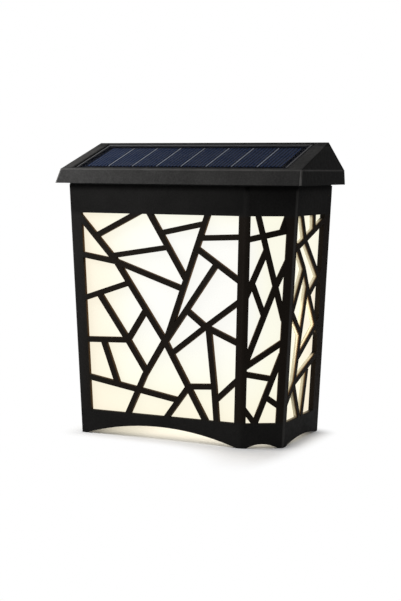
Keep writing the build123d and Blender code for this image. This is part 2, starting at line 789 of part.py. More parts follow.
def contact_tab(side, gap):
    """Solder tab of a battery contact at one end of the box, through its front wall."""
    end = side * BOX_LENGTH / 2
    inner = end - side * (CONTACT + gap)
    half = TAB_HEIGHT / 2 + gap
    return block(
        (min(inner, end), max(inner, end)), (TAB_Y, BATTERY_Y), (TAB_Z - half, TAB_Z + half)
    )


def back_plate():
    plate = plate_blank() + foot_flange()
    plate += both_sides(pocket(POCKET_WALL, POCKET_DEPTH + POCKET_WALL))
    rim = 2 * LID_PAD_RIM
    plate += centred(LID_WIDTH + rim, LID_HEIGHT + rim, BACK_FRONT_Y - LID_PAD, BACK_FRONT_Y)
    plate += centred(BOX_LENGTH + 2 * BOX_WALL, BORE + 2 * BOX_WALL, BOX_FRONT_Y, BACK_FRONT_Y)
    plate += lid_bosses(SMALL_RADIUS + BOX_WALL, LID_BOSS_LENGTH)
    plate -= both_sides(keyhole(0, BACK + OVERCUT, WALL_Y + OVERCUT))
    plate -= both_sides(pocket(0, POCKET_DEPTH))
    plate -= centred(LID_WIDTH + 2 * LID_GAP, LID_HEIGHT + 2 * LID_GAP, LID_LEDGE_Y, WALL_Y + OVERCUT)
    plate -= centred(BOX_LENGTH, BORE, BOX_FRONT_Y + BOX_WALL, WALL_Y)
    plate -= lid_bosses(SMALL_RADIUS + THREAD_GAP, LID_BOSS_LENGTH)
    plate -= lid_hole(SMALL_RADIUS + THREAD_GAP, LID_INNER_Y, LID_PAD + BACK)
    plate -= [contact_tab(1, THREAD_GAP), contact_tab(-1, THREAD_GAP)]
    for x, z in back_screw_places() + [(post_x(), POST_SCREW_HEIGHT)]:
        plate -= both_sides(screw_hole(x, z))
    through = (BUTTON_X, WALL_Y + OVERCUT, BUTTON_HEIGHT)
    plate -= rod(BUTTON_RADIUS + BUTTON_GAP, BACK + 2 * OVERCUT, through, (0, -1, 0))
    seat_radius = BUTTON_RADIUS + BUTTON_GAP + SEAL_RING_WIDTH + SEAL_RING_GAP
    plate -= rod(seat_radius, OVERCUT + SEAL_RING_SINK + SEAL_RING, through, (0, -1, 0))
    return plate


def back_screws():
    places = back_screw_places()
    screws = [body_screw((x, HEAD_SEAT_Y, z), (0, -1, 0)) for x, z in places]
    return group(screws + [mirrored(one) for one in screws])


def roof_screws():
    return group(both_sides(body_screw((post_x(), HEAD_SEAT_Y, POST_SCREW_HEIGHT), (0, -1, 0))))


def lid_hole(radius, start_y, depth):
    """Pair of holes for the lid's screws."""
    return both_sides(rod(radius, depth, (LID_SCREW_X, start_y, BATTERY_HEIGHT), (0, -1, 0)))


def battery_lid():
    lid = centred(LID_WIDTH, LID_HEIGHT, LID_INNER_Y, WALL_Y - LID_SINK)
    lid = fillet(lid.edges().filter_by(Axis.Y), LID_ROUND)
    lid -= lid_hole(SMALL_RADIUS + HOLE_GAP, WALL_Y, LID + OVERCUT)
    lid -= lid_hole(SMALL_HEAD_RADIUS + HOLE_GAP, WALL_Y, WALL_Y - LID_SEAT_Y)
    return lid


def lid_seal():
    seal = centred(LID_WIDTH - LID_LAND, LID_HEIGHT - LID_GAP, LID_LEDGE_Y, LID_INNER_Y)
    seal -= centred(BOX_LENGTH, BORE, LID_LEDGE_Y - OVERCUT, WALL_Y)
    seal -= lid_hole(SMALL_RADIUS + HOLE_GAP, WALL_Y, LID + BACK)
    return seal


def lid_screws():
    seat = (LID_SCREW_X, LID_SEAT_Y, BATTERY_HEIGHT)
    return group(both_sides(small_screw(LID_SCREW_LENGTH, seat, (0, -1, 0))))


def battery_end():
    """x of the battery's positive tip, against the bump of its contact."""
    return BOX_LENGTH / 2 - CONTACT - BUMP_HEIGHT


def battery():
    tip = battery_end()
    can = rod(BATTERY_RADIUS, BATTERY_LENGTH, (tip - NUB_LENGTH, BATTERY_Y, BATTERY_HEIGHT), (-1, 0, 0))
    can = fillet(can.edges(), BATTERY_ROUND)
    return can + rod(NUB_RADIUS, NUB_LENGTH, (tip, BATTERY_Y, BATTERY_HEIGHT), (-1, 0, 0))


def contact_plate(side):
    """Flat plate against one end wall of the battery box, with its solder tab."""
    end = side * BOX_LENGTH / 2
    inner = end - side * CONTACT
    half = CONTACT_SIZE / 2
    plate = block(
        (min(inner, end), max(inner, end)),
        (BATTERY_Y - half, BATTERY_Y + half),
        (BATTERY_HEIGHT - half, TAB_Z + TAB_HEIGHT / 2),
    )
    return plate + contact_tab(side, 0)


def contact_positive():
    start = (BOX_LENGTH / 2, BATTERY_Y, BATTERY_HEIGHT)
    return contact_plate(1) + rod(BUMP_RADIUS, CONTACT + BUMP_HEIGHT, start, (-1, 0, 0))


def contact_negative():
    root = -BOX_LENGTH / 2
    crest = battery_end() - NUB_LENGTH - BATTERY_LENGTH
    half = CONTACT_SIZE / 2
    leaf = Polyline(
        (root, BATTERY_HEIGHT + half),
        (crest, BATTERY_HEIGHT + LEAF_CREST / 2),
        (crest, BATTERY_HEIGHT - LEAF_CREST / 2),
        (root, BATTERY_HEIGHT - half),
        close=True,
    )
    bow = make_face(leaf)
    bow -= Pos(-CONTACT, 0, 0) * make_face(leaf)
    strip = extrude(Pos(0, BATTERY_Y, 0) * (Plane.XZ * bow), amount=LEAF_WIDTH / 2, both=True)
    inside = block((root, crest), (BOX_FRONT_Y, WALL_Y), (0, RIDGE_HEIGHT))
    return contact_plate(-1) + (strip & inside)


# Tray, boards and lamps

def board_screw_places():
    """Two corners of the control board that are screwed down."""
    half_x = CONTROL_WIDTH / 2 - BOARD_SCREW_INSET
    half_y = CONTROL_DEPTH / 2 - BOARD_SCREW_INSET
    return [(CONTROL_X + half_x, CONTROL_Y - half_y), (CONTROL_X - half_x, CONTROL_Y + half_y)]


def led_lead_x():
    """x of the tray's hole for the lamp leads, left of the control board."""
    return CONTROL_X - CONTROL_WIDTH / 2 - 2 * WIRE_HOLE_RADIUS


def lamp_tray():
    tray = body_block(LINER_TOP, TRAY_TOP, SHELL_WALL + TRAY_GAP, LINER_BACK_Y)
    notch = BOX_LENGTH / 2 + BOX_WALL + TRAY_GAP
    tray -= block((-notch, notch), (BOX_FRONT_Y - TRAY_GAP, WALL_Y), (0, RIDGE_HEIGHT))
    below = LINER_TOP - OVERCUT
    for y in PILLAR_YS:
        hole = rod(SCREW_RADIUS + HOLE_GAP, TRAY + 2 * OVERCUT, (PILLAR_X, y, below), (0, 0, 1))
        tray -= both_sides(hole)
    tray -= rod(WIRE_HOLE_RADIUS, TRAY + 2 * OVERCUT, (led_lead_x(), LED_BOARD_Y, below), (0, 0, 1))
    for x, y in board_screw_places():
        tray += rod(STANDOFF_RADIUS, STANDOFF_HEIGHT, (x, y, TRAY_TOP), (0, 0, 1))
        depth = TRAY + 2 * OVERCUT + STANDOFF_HEIGHT
        tray -= rod(SMALL_RADIUS + THREAD_GAP, depth, (x, y, below), (0, 0, 1))
    return tray


def tray_screws():
    screws = []
    for y in PILLAR_YS:
        screws += both_sides(body_screw((PILLAR_X, y, LINER_TOP), (0, 0, 1)))
    return group(screws)


def led_board():
    y = (LED_BOARD_Y - LED_BOARD_WIDTH / 2, LED_BOARD_Y + LED_BOARD_WIDTH / 2)
    return block((-LED_BOARD_LENGTH / 2, LED_BOARD_LENGTH / 2), y, (LINER_TOP - BOARD, LINER_TOP))


def leds():
    top = LINER_TOP - BOARD
    chip = Box(LED_LENGTH, LED_WIDTH, LED_HEIGHT, align=(Align.CENTER, Align.CENTER, Align.MAX))
    places = [(i - (LED_COUNT - 1) / 2) * LED_PITCH for i in range(LED_COUNT)]
    return group(Pos(x, LED_BOARD_Y, top) * chip for x in places)


def control_board():
    plate = block(
        (CONTROL_X - CONTROL_WIDTH / 2, CONTROL_X + CONTROL_WIDTH / 2),
        (CONTROL_Y - CONTROL_DEPTH / 2, CONTROL_Y + CONTROL_DEPTH / 2),
        (BOARD_FOOT, BOARD_TOP),
    )
    for x, y in board_screw_places():
        plate -= rod(SMALL_RADIUS + HOLE_GAP, BOARD + 2 * OVERCUT, (x, y, BOARD_FOOT - OVERCUT), (0, 0, 1))
    return plate


def board_screws():
    return group(
        small_screw(BOARD_SCREW_LENGTH, (x, y, BOARD_TOP), (0, 0, -1)) for x, y in board_screw_places()
    )


def board_components():
    """Chip, coil, capacitor and small resistors, seated on the control board."""
    standing = (Align.CENTER, Align.CENTER, Align.MIN)
    chip = Pos(*CHIP_PLACE) * Box(*CHIP, align=standing)
    coil = Box(*COIL, align=standing)
    coil = Pos(*COIL_PLACE) * fillet(coil.edges().filter_by(Axis.Z), COIL_ROUND)
    can = Pos(*CAPACITOR_PLACE) * Cylinder(CAPACITOR_RADIUS, CAPACITOR_HEIGHT, align=standing)
    parts = [chip, coil, can]
    for i in range(RESISTOR_COUNT):
        x, y = RESISTOR_PLACE
        parts.append(Pos(x + i * RESISTOR_PITCH, y) * Box(*RESISTOR, align=standing))
    place = Pos(CONTROL_X, CONTROL_Y, BOARD_TOP)
    return group(place * one for one in parts)


# Button and switch

def power_switch():
    half = SWITCH_SIZE / 2
    body = block(
        (BUTTON_X - half, BUTTON_X + half),
        (SWITCH_BACK_Y - SWITCH_SIZE, SWITCH_BACK_Y),
        (BOARD_TOP, BOARD_TOP + SWITCH_HEIGHT),
    )
    start = (BUTTON_X, SWITCH_BACK_Y, BUTTON_HEIGHT)
    return body - rod(BUTTON_STEM_RADIUS + STEM_GAP, SWITCH_BORE_DEPTH, start, (0, -1, 0))


def power_button():
    into = (0, -1, 0)
    face_y = WALL_Y - BUTTON_SINK
    flange_y = BACK_FRONT_Y - BUTTON_STOP_GAP
    cap = rod(BUTTON_RADIUS, face_y - flange_y, (BUTTON_X, face_y, BUTTON_HEIGHT), into)
    cap = fillet(cap.edges().sort_by(Axis.Y)[-1], BUTTON_ROUND)
    cap += rod(BUTTON_FLANGE_RADIUS, BUTTON_FLANGE, (BUTTON_X, flange_y, BUTTON_HEIGHT), into)
    reach = flange_y - SWITCH_BACK_Y + STEM_ENTRY
    return cap + rod(BUTTON_STEM_RADIUS, reach, (BUTTON_X, flange_y, BUTTON_HEIGHT), into)


def button_seal():
    start = (BUTTON_X, WALL_Y - SEAL_RING_SINK, BUTTON_HEIGHT)
    inner = BUTTON_RADIUS + BUTTON_GAP
    ring = rod(inner + SEAL_RING_WIDTH, SEAL_RING, start, (0, -1, 0))
    return ring - rod(inner, SEAL_RING, start, (0, -1, 0))


# Wires

def wire(points):
    """Round wire along straight runs joined by arcs."""
    path = FilletPolyline(*points, radius=WIRE_BEND)
    start = Plane(origin=path @ 0, z_dir=path % 0)
    return sweep(start * Circle(WIRE_RADIUS), path=path)


def panel_leads():
    """Pair from the panel board down to the control board."""
    x, y = panel_lead_start()
    turn = EAVE_HEIGHT + SOFFIT
    end = x - 2 * WIRE_PITCH
    pair = []
    for step in range(2):
        row = y + step * WIRE_PITCH
        start = panel_point(x, row, SEAL_DEPTH + WIRE_RADIUS * math.sin(SLOPE_ANGLE))
        pair.append(wire([start, (x, row, turn), (end, row, turn), (end, row, BOARD_TOP)]))
    return group(pair)


def led_leads():
    """Pair from the control board through the tray to the lamp board."""
    start = CONTROL_X - CONTROL_WIDTH / 2 + WIRE_PITCH / 2
    over = BOARD_TOP + WIRE_PITCH
    end = LED_BOARD_Y
    pair = []
    for shift in (-WIRE_PITCH / 4, WIRE_PITCH / 4):
        x = led_lead_x() - shift
        y = CONTROL_Y - WIRE_PITCH + shift
        rise = [(start, y, BOARD_TOP), (start, y, over), (x, y, over)]
        pair.append(wire(rise + [(x, end, over), (x, end, LINER_TOP)]))
    return group(pair)


def battery_leads():
    """One wire from each battery contact to the control board."""
    end = CONTROL_X - CONTROL_WIDTH / 2 + WIRE_PITCH / 2
    pair = []
    for step, side in enumerate((1, -1)):
        x = side * (BOX_LENGTH - CONTACT) / 2
        y = TAB_Y - WIRE_PITCH - step * WIRE_PITCH
        pair.append(wire([(x, TAB_Y, TAB_Z), (x, y, TAB_Z), (end, y, TAB_Z), (end, y, BOARD_TOP)]))
    return group(pair)


PIECES = [
    roof_cap, panel_seal, panel_board, solar_cells, cell_ribbons, panel_cover, roof_gasket,
    lantern_shell, diffuser_liner, back_reflector,
    back_plate, back_screws, roof_screws, battery_lid, lid_seal, lid_screws,
    battery, contact_positive, contact_negative,
    lamp_tray, tray_screws, led_board, leds, control_board, board_screws, board_components,
    power_switch, power_button, button_seal,
    panel_leads, led_leads, battery_leads,
]

os.makedirs("parts", exist_ok=True)
for piece in PIECES:
    export_step(piece(), f"parts/{piece.__name__}.step")
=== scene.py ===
import math

import bpy
from mathutils import Matrix, Vector

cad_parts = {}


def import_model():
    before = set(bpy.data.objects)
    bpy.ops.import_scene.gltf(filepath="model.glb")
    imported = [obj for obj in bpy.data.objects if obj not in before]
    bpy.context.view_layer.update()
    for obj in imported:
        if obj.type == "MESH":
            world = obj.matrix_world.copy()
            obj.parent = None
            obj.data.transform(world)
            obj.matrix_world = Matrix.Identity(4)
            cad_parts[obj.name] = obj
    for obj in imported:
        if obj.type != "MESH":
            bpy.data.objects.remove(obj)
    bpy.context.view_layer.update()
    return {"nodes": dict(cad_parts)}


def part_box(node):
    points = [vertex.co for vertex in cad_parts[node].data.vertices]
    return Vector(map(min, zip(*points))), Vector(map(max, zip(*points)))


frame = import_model()
nodes = frame["nodes"]

MM = 0.001

# Camera, fitted to the photograph: place in metres, angles in degrees, lens and sensor in mm
CAMERA_PLACE = (0.3203, -0.6720, 0.1525)
CAMERA_YAW = 25.43
CAMERA_PITCH = 5.81
CAMERA_ROLL = 0.36
CAMERA_LENS = 77.9
SENSOR_WIDTH = 36.0
CLIP_START = 0.01

# Places on the object that its finishes follow
EAVE_Z = 143.7 * MM
ROOF_EDGE_Z = 151.6 * MM
RIDGE_Z = 166.6 * MM
GABLE_X = 72.8 * MM
CORNER_REACH = 110.0 * MM
SILL_Z = 13.6 * MM
HEAD_Z = 127.0 * MM
REAR_STILE_Y = 25.6 * MM
COVER_SIDE_X = 64.4 * MM
COVER_FRONT_Y = -28.7 * MM
COVER_REAR_Y = 10.1 * MM
RIBBON_PITCH = 15.25 * MM
FINGERS_PER_CELL = 7
FINGER_PITCH = RIBBON_PITCH / FINGERS_PER_CELL

# Faces of the body: distance from the middle at the floor, and lean outwards with height
FRONT_FACE = (30.5 * MM, 0.01461)
SIDE_FACE = (60.3 * MM, 0.04802)
FACET_FACE = (46.79 * MM, 0.02401)
FACET_OUT_X = 0.5126
FACET_OUT_Y = -0.8586

# Part of a noise's range that most of its values lie in, and shared noise scales per metre
NOISE_LOW = 0.3
NOISE_HIGH = 0.7
PLASTIC_CLOUD = 38.0
SMALL_CLOUD = 160.0
SMALL_GRAIN = 1440.0


# Node graphs

class Nodes:
    """A node tree, with short calls that add nodes and links."""

    def __init__(self, tree, coordinates):
        self.tree = tree
        self.place = self.node("ShaderNodeTexCoord").outputs[coordinates]

    def node(self, kind, **settings):
        made = self.tree.nodes.new(kind)
        for key, value in settings.items():
            setattr(made, key, value)
        return made

    def link(self, source, target):
        self.tree.links.new(source, target)

    def put(self, made, values):
        """Sets or links the inputs of a node, by name or by number."""
        for key, value in values.items():
            if isinstance(value, bpy.types.NodeSocket):
                self.link(value, made.inputs[key])
            else:
                made.inputs[key].default_value = value
        return made

    def axes(self):
        """The three coordinates of the shaded point."""
        made = self.node("ShaderNodeSeparateXYZ")
        self.link(self.place, made.inputs[0])
        return made.outputs

    def math(self, operation, first, second=0.0, clamp=False):
        made = self.node("ShaderNodeMath", operation=operation, use_clamp=clamp)
        return self.put(made, {0: first, 1: second}).outputs[0]

    def chain(self, operation, values):
        total = values[0]
        for value in values[1:]:
            total = self.math(operation, total, value)
        return total

    def times(self, *values):
        return self.chain("MULTIPLY", values)

    def plus(self, *values):
        return self.chain("ADD", values)

    def minus(self, first, second):
        return self.math("SUBTRACT", first, second)

    def most(self, *values):
        return self.chain("MAXIMUM", values)

    def least(self, *values):
        return self.chain("MINIMUM", values)

    def spread(self, value, low, high, to_low=0.0, to_high=1.0, smooth=False):
        """Value carried from one range to another, held at the ends."""
        made = self.node("ShaderNodeMapRange")
        if smooth:
            made.interpolation_type = "SMOOTHSTEP"
        ends = {"From Min": low, "From Max": high, "To Min": to_low, "To Max": to_high}
        return self.put(made, {"Value": value, **ends}).outputs["Result"]

    def choose(self, amount, first, second):
        """Number between two numbers."""
        made = self.node("ShaderNodeMix")
        return self.put(made, {0: amount, 2: first, 3: second}).outputs[0]

    def blend(self, amount, first, second):
        """Colour between two colours."""
        made = self.node("ShaderNodeMix", data_type="RGBA")
        return self.put(made, {0: amount, 6: first, 7: second}).outputs[2]

    def rays(self, *kinds):
        """1 where the ray is one of these kinds, else 0."""
        path = self.node("ShaderNodeLightPath").outputs
        return self.most(*[path["Is %s Ray" % kind] for kind in kinds])


class Finish(Nodes):
    """A material with one main shader, in the object's own coordinates."""

    def __init__(self, name):
        self.material = bpy.data.materials.new(name)
        self.material.use_nodes = True
        super().__init__(self.material.node_tree, "Object")
        self.shader = self.tree.nodes["Principled BSDF"]

    def noise(self, scale, detail=2.0, roughness=0.5, place=None):
        made = self.node("ShaderNodeTexNoise")
        look = {"Scale": scale, "Detail": detail, "Roughness": roughness}
        return self.put(made, {"Vector": place or self.place, **look}).outputs["Fac"]

    def even(self, noise, to_low=0.0, to_high=1.0):
        """Noise carried from its usual range to another."""
        return self.spread(noise, NOISE_LOW, NOISE_HIGH, to_low, to_high)

    def stretch(self, scale):
        """Object coordinates, stretched by a factor on each axis."""
        made = self.node("ShaderNodeMapping")
        return self.put(made, {"Vector": self.place, "Scale": scale}).outputs["Vector"]

    def bump(self, height, strength, distance):
        made = self.node("ShaderNodeBump")
        look = {"Height": height, "Strength": strength, "Distance": distance}
        return self.put(made, look).outputs["Normal"]

    def set(self, **values):
        """Sets or links inputs of the main shader; underscores stand for spaces."""
        self.put(self.shader, {key.replace("_", " "): value for key, value in values.items()})
        return self.material


def rgb(r, g, b):
    return (r, g, b, 1.0)


def shade(colour, factor):
    return rgb(*(channel * factor for channel in colour[:3]))


# Tones of the marks, as factors of the plastic's own colour; most are painted highlights and shade
STILE_HIGHLIGHT_TONE = 1.6
BAND_END_SHADE_TONE = 0.15
CORNER_HIGHLIGHT_TONE = 3.6
EAVE_SHADOW_TONE = 0.15
SLOPE_HIGHLIGHT_TONE = 1.7
GABLE_SHADE_TONE = 0.6
RIDGE_TONE = 0.2
EDGE_HIGHLIGHT_TONE = 5.5
GROOVE_SHADE_TONE = 0.1

# Painted light: colours that the liner's light gives to the bars, and to the edges of their cells
WARM_BAR = rgb(0.0165, 0.0105, 0.0060)
FRONT_RIM = rgb(0.060, 0.032, 0.012)
FRONT_LIT = rgb(0.20, 0.115, 0.042)
SIDE_RIM = rgb(0.17, 0.09, 0.03)
SIDE_LIT = rgb(0.98, 0.91, 0.72)


# Plastics

def moulded(name, colour, grain, depth, rough, gloss, vary=0.35, marks=None):
    """Moulded plastic: spark-eroded grain, cloudy tone, uneven roughness, painted light and shade.
    """
    g = Finish(name)
    cloud = g.noise(PLASTIC_CLOUD, 3.0)
    speck = g.noise(grain * 0.8, 1.0)
    tone = g.even(g.plus(g.times(cloud, 0.6), g.times(speck, 0.4)))
    pebble = g.noise(grain, 2.0, 0.6)
    swell = g.noise(grain * 0.12)
    uneven = 0.07
    skin = g.blend(tone, shade(colour, 1 - vary), shade(colour, 1 + vary))
    if marks:
        skin = marks(g, skin, colour)
    return g.set(
        Base_Color=skin,
        Roughness=g.even(g.noise(grain * 0.3), rough - uneven, rough + uneven),
        Normal=g.bump(g.plus(pebble, g.times(swell, 0.5)), 0.5, depth),
        Specular_IOR_Level=gloss,
    )


def body_depths(g):
    """Depth of a point below the body's front, side and facet."""
    x, y, z = g.axes()

    def below(face, out):
        base, lean = face
        return g.minus(g.plus(base, g.times(z, lean)), out)

    facet_out = g.plus(g.times(x, FACET_OUT_X), g.times(y, FACET_OUT_Y))
    front = below(FRONT_FACE, g.times(y, -1.0))
    side = below(SIDE_FACE, g.math("ABSOLUTE", x))
    return front, side, below(FACET_FACE, facet_out)


def lattice_marks(g, skin, colour):
    """Painted light and shade: liner's light on the lattice, highlights, shadow on the band above.
    """
    x, y, z = g.axes()
    front, side, facet = body_depths(g)
    ahead = g.least(front, facet)
    beside = g.math("GREATER_THAN", ahead, side)

    # Painted light: bars warmed by the liner, and a painted highlight on the stile at the left
    above_sill = g.spread(z, SILL_Z - 1 * MM, SILL_Z + 2 * MM, smooth=True)
    below_head = g.spread(z, HEAD_Z + 1 * MM, HEAD_Z - 2 * MM, smooth=True)
    window = g.times(above_sill, below_head)
    warm = g.times(window, g.spread(x, -60 * MM, -50 * MM, 0.1, 0.6))
    skin = g.blend(warm, skin, WARM_BAR)
    stile = g.times(window, g.spread(x, -60 * MM, -54 * MM, 0.5, 0.0))
    skin = g.blend(stile, skin, shade(colour, STILE_HIGHLIGHT_TONE))

    # Painted shade: the band above the front window is darker towards its ends, where less light
    # reaches
    right_end = g.spread(x, -5 * MM, 40 * MM, 0.0, 0.45)
    right_end = g.times(right_end, g.spread(facet, 0.2 * MM, 1.2 * MM))
    left_end = g.spread(x, -45 * MM, -66 * MM, 0.0, 0.3)
    over_head = g.spread(z, HEAD_Z - 1 * MM, HEAD_Z + 3 * MM, smooth=True)
    on_front = g.spread(front, 2 * MM, 4 * MM, 1.0, 0.0)
    ends = g.times(g.most(right_end, left_end), over_head, on_front)
    skin = g.blend(ends, skin, shade(colour, BAND_END_SHADE_TONE))

    # Painted highlight on the corner between facet and side, and painted shadow under the eave
    corner = g.spread(g.most(side, facet), 0.45 * MM, 1.0 * MM, 0.85, 0.0, True)
    skin = g.blend(corner, skin, shade(colour, CORNER_HIGHLIGHT_TONE))
    eave = g.spread(z, EAVE_Z - 4.5 * MM, EAVE_Z - 1.5 * MM, 0.0, 0.93, True)
    skin = g.blend(eave, skin, shade(colour, EAVE_SHADOW_TONE))

    # Painted liner light on cell edges: brown rim, then brighter deeper in; both end at the rear
    # stile
    edges = g.spread(y, REAR_STILE_Y - 5.5 * MM, REAR_STILE_Y - 1.6 * MM, 1.0, 0.0)
    edges = g.times(window, edges)
    front_rate = 0.8
    side_extra = 0.8
    deep = g.times(g.least(ahead, side), g.plus(g.times(beside, side_extra), front_rate))
    rim = g.times(edges, g.spread(deep, 0.35 * MM, 1.2 * MM))
    skin = g.blend(rim, skin, g.blend(beside, FRONT_RIM, SIDE_RIM))
    lit = g.times(edges, g.spread(deep, 1.1 * MM, 2.3 * MM))
    return g.blend(lit, skin, g.blend(beside, FRONT_LIT, SIDE_LIT))


def roof_marks(g, skin, colour):
    """Roof: painted highlights on left slope and edges, painted shade on gable and groove; darker
    ridge.
    """
    x, _, z = g.axes()
    # Painted highlight on the slope towards the left, where the light comes from
    slope = g.spread(z, ROOF_EDGE_Z + 0.2 * MM, ROOF_EDGE_Z + 1.4 * MM)
    slope = g.times(slope, g.spread(x, -75 * MM, 40 * MM, 1.0, 0.0))
    skin = g.blend(slope, skin, shade(colour, SLOPE_HIGHLIGHT_TONE))
    # Painted shade on the gable, the end turned from the light
    gable = g.spread(x, GABLE_X, GABLE_X + 0.6 * MM)
    skin = g.blend(gable, skin, shade(colour, GABLE_SHADE_TONE))
    ridge = g.spread(z, RIDGE_Z - 2.2 * MM, RIDGE_Z - 1.2 * MM, 0.0, 0.65, True)
    skin = g.blend(ridge, skin, shade(colour, RIDGE_TONE))
    skin = g.blend(roof_edge_highlights(g), skin, shade(colour, EDGE_HIGHLIGHT_TONE))
    return g.blend(panel_groove_shade(g), skin, shade(colour, GROOVE_SHADE_TONE))


def roof_edge_highlights(g):
    """Mask of the roof's painted highlights: the fascia's top line and its two front corners."""
    x, y, z = g.axes()
    from_top = g.math("ABSOLUTE", g.minus(z, ROOF_EDGE_Z))
    line = g.spread(from_top, 0.2 * MM, 0.6 * MM, 0.5, 0.0, True)
    # Each corner's side, as the sign of x, and its lean
    right_corner = (1.0, 0.35)
    left_corner = (-1.0, 0.55)
    for side, lean in (right_corner, left_corner):
        reach = g.minus(g.times(x, side), y)
        reach = g.plus(reach, g.times(g.minus(z, EAVE_Z), lean))
        corner = g.spread(reach, CORNER_REACH - 1.2 * MM, CORNER_REACH - 0.6 * MM, smooth=True)
        line = g.most(line, corner)
    # Painted highlight, patchy along its length
    patchy = g.spread(g.noise(140.0, 3.0), 0.35, 0.65, 0.6, 1.0)
    return g.times(line, patchy)


def panel_groove_shade(g):
    """Mask of the painted shade in the groove round the panel, narrower at its right end."""
    x, y, z = g.axes()
    width = 2.1 * MM
    narrower = 1.5 * MM
    out = g.most(
        g.minus(g.times(x, -1.0), COVER_SIDE_X),
        g.minus(COVER_FRONT_Y, y),
        g.minus(y, COVER_REAR_Y),
        g.minus(x, COVER_SIDE_X - narrower),
    )
    groove = g.spread(out, width, width + 0.5 * MM, 0.95, 0.0)
    return g.times(groove, g.math("GREATER_THAN", z, ROOF_EDGE_Z))


def plain(name, colour, rough, metal=0.0, gloss=0.5):
    """Small part: an even finish with cloudy tone, fine grain and uneven roughness."""
    g = Finish(name)
    cloud = g.even(g.noise(SMALL_CLOUD, 3.0))
    fine = g.noise(SMALL_GRAIN)
    less, more = 0.85, 1.15
    return g.set(
        Base_Color=g.blend(cloud, shade(colour, less), shade(colour, more)),
        Roughness=g.even(fine, rough * less, rough * more),
        Normal=g.bump(fine, 0.2, 0.03 * MM),
        Metallic=metal,
        Specular_IOR_Level=gloss,
    )


def milky_diffuser():
    """Milky liner, lit from inside: white middle, cream sill and head, peach corners."""
    g = Finish("milky_diffuser")
    x, y, z = g.axes()
    cream = rgb(0.930, 0.916, 0.735)
    white = rgb(0.900, 0.898, 0.865)
    peach = rgb(0.900, 0.805, 0.640)

    above_sill = g.spread(z, 8 * MM, 72 * MM, smooth=True)
    below_head = g.spread(z, 133 * MM, 112 * MM, 0.3, 1.0, True)
    off_facet = g.spread(x, 40 * MM, 54 * MM, 1.0, 0.35, True)
    off_left = g.spread(x, -52 * MM, -8 * MM, 0.3, 1.0, True)
    cloud = g.even(g.noise(26.0), -0.06, 0.06)
    middle = g.times(above_sill, below_head, off_facet, off_left)
    middle = g.math("ADD", middle, cloud, clamp=True)

    left = g.spread(x, -66 * MM, -24 * MM, 0.2, 1.0, True)
    rear = g.spread(y, 30 * MM, -14 * MM, 0.2, 1.0, True)
    rear = g.most(rear, g.spread(z, 72 * MM, 100 * MM, 0.0, 0.85, True))
    foot = g.spread(z, 8 * MM, 38 * MM, 0.5, 1.0, True)
    off_corners = g.times(left, rear, foot)

    grain = g.noise(900.0)
    dull = rgb(0.15, 0.143, 0.128)
    pale = rgb(0.18, 0.172, 0.154)
    return g.set(
        Base_Color=g.blend(g.even(grain), dull, pale),
        Roughness=g.even(grain, 0.42, 0.56),
        Normal=g.bump(grain, 0.15, 0.05 * MM),
        Specular_IOR_Level=0.2,
        Emission_Color=g.blend(off_corners, peach, g.blend(middle, cream, white)),
        Emission_Strength=1.0,
    )


# Solar panel

def solar_cell():
    """Dark blue silicon with fine printed fingers along the slope and a faint crystal cloud."""
    g = Finish("solar_cell")
    x = g.axes()["X"]
    from_finger = g.math("PINGPONG", x, FINGER_PITCH / 2)
    finger = g.spread(from_finger, 0.30 * MM, 0.78 * MM, 1.0, 0.0, True)
    cloud = g.even(g.noise(70.0, 3.0))
    silicon = g.blend(cloud, rgb(0.0004, 0.0014, 0.0060), rgb(0.0012, 0.0032, 0.0120))
    # Painted light: the fingers are paler at the left, where the light comes from
    away = g.spread(x, -60 * MM, 0.0)
    silver = g.blend(away, rgb(0.0240, 0.0430, 0.1070), rgb(0.0150, 0.0310, 0.0850))
    return g.set(
        Base_Color=g.blend(finger, silicon, silver),
        Roughness=g.spread(cloud, 0.0, 1.0, 0.34, 0.46),
        Normal=g.bump(finger, 0.2, 0.02 * MM),
        Specular_IOR_Level=0.02,
    )


def ribbon():
    """Tinned ribbon between two cells, dull where it dips under their edges."""
    g = Finish("tinned_ribbon")
    from_middle = g.math("PINGPONG", g.axes()["X"], RIBBON_PITCH / 2)
    bright = g.spread(from_middle, 0.22 * MM, 0.44 * MM, 1.0, 0.0, True)
    cloud = g.noise(240.0, 3.0)
    tin = g.blend(cloud, rgb(0.195, 0.225, 0.300), rgb(0.260, 0.295, 0.380))
    return g.set(
        Base_Color=g.blend(bright, rgb(0.006, 0.010, 0.022), tin),
        Roughness=g.even(cloud, 0.35, 0.5),
        Specular_IOR_Level=0.1,
    )


def clear_resin():
    """Thin clear top layer of the panel, a little wavy, with a painted highlight on a bevel at
    three edges.
    """
    g = Finish("clear_resin")
    x, y, _ = g.axes()
    # Painted highlight along the bevel at the sides and the rear
    from_middle = g.math("ABSOLUTE", x)
    sides = g.spread(from_middle, COVER_SIDE_X - 1.2 * MM, COVER_SIDE_X - 0.7 * MM)
    rear = g.spread(y, COVER_REAR_Y - 2.0 * MM, COVER_REAR_Y - 1.3 * MM)
    bevel = g.most(sides, rear)
    return g.set(
        Base_Color=g.blend(bevel, rgb(0.008, 0.012, 0.026), rgb(0.088, 0.088, 0.092)),
        Alpha=g.spread(bevel, 0.0, 1.0, 0.06, 0.92),
        Specular_IOR_Level=0.04,
        Roughness=g.even(g.noise(420.0), 0.05, 0.12),
        Normal=g.bump(g.noise(120.0), 0.08, 0.05 * MM),
    )


# Hardware and electronics

